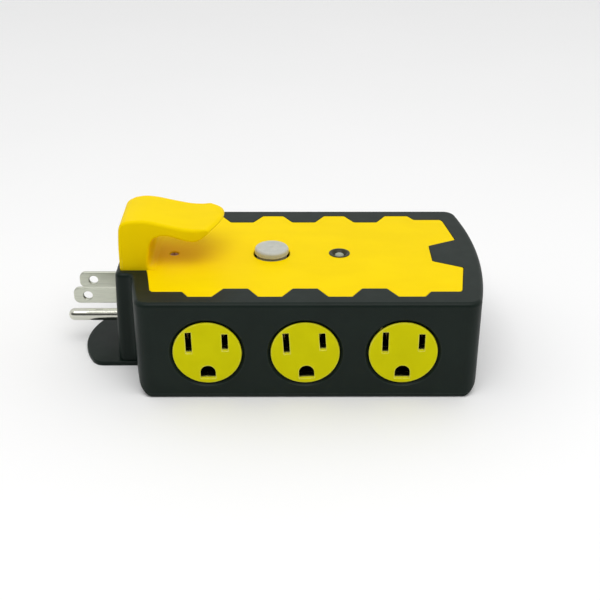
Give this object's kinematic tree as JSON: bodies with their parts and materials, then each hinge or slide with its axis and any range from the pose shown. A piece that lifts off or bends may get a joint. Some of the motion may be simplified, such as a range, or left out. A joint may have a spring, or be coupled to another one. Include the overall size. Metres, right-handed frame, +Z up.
{
  "type": "plug-in outlet adapter",
  "caption": "Dark plug-in box adapter with yellow grounded sockets along both long sides, a yellow top cover with a moulded hook, a reset button and a small indicator.",
  "frame": {"origin": "middle of the whole object's footprint, on the plane that the base cover stands on", "axes": "+X from the plug towards the bowed end, +Y towards the rear outlets, +Z up through the top cover"},
  "size_m": [0.1554, 0.0804, 0.0564],
  "materials": {
    "dark_shell": "fine moulded grain",
    "cover_yellow": "satin moulded plastic",
    "socket_yellow": "satin moulded plastic",
    "contact_brass": "stamped",
    "blade_nickel": "nickel plated, matte",
    "pin_nickel": "nickel plated, bright",
    "insulator_cream": "moulded",
    "insulator_black": "moulded",
    "button_pale": "satin",
    "spring_steel": "drawn wire",
    "bezel_black": "polished",
    "lens_clear": "clear",
    "lamp_glass": "clear",
    "resistor_tan": "lacquered",
    "bimetal": "rolled",
    "wire_black": "extruded insulation",
    "wire_white": "extruded insulation",
    "wire_green": "extruded insulation",
    "screw_steel": "zinc plated"
  },
  "bodies": {
    "adapter": {"body_shell": "dark_shell", "base_cover": "dark_shell", "top_cover": "cover_yellow", "outlet_face_front_left": "socket_yellow", "outlet_face_front_middle": "socket_yellow", "outlet_face_front_right": "socket_yellow", "contact_carrier_front": "insulator_cream", "line_bus_front": "contact_brass", "neutral_bus_front": "contact_brass", "ground_bus_front": "contact_brass", "outlet_face_rear_left": "socket_yellow", "outlet_face_rear_middle": "socket_yellow", "outlet_face_rear_right": "socket_yellow", "contact_carrier_rear": "insulator_cream", "line_bus_rear": "contact_brass", "neutral_bus_rear": "contact_brass", "ground_bus_rear": "contact_brass", "line_jumper": "contact_brass", "neutral_jumper": "contact_brass", "ground_jumper": "contact_brass", "line_blade": "blade_nickel", "neutral_blade": "blade_nickel", "ground_pin": "pin_nickel", "plug_insert": "insulator_black", "breaker_case": "insulator_black", "breaker_lid": "insulator_cream", "breaker_terminal_in": "contact_brass", "breaker_terminal_out": "contact_brass", "bimetal_strip": "bimetal", "button_spring": "spring_steel", "indicator_bezel": "bezel_black", "indicator_lens": "lens_clear", "indicator_lamp": "lamp_glass", "lamp_resistor": "resistor_tan", "base_screws": "screw_steel", "cover_screw": "screw_steel", "line_wire_in": "wire_black", "line_wire_out": "wire_black", "neutral_wire": "wire_white", "ground_wire": "wire_green", "lamp_lead": "spring_steel"},
    "button": {"reset_button": "button_pale", "button_plunger": "insulator_cream"}
  },
  "joints": [
    {"name": "reset_press", "type": "slide", "parent": "adapter", "child": "button", "axis": [0, 0, -1], "range_m": [0, 0.0018], "stiffness_N_per_m": 600, "deforming": ["button_spring"]}
  ]
}
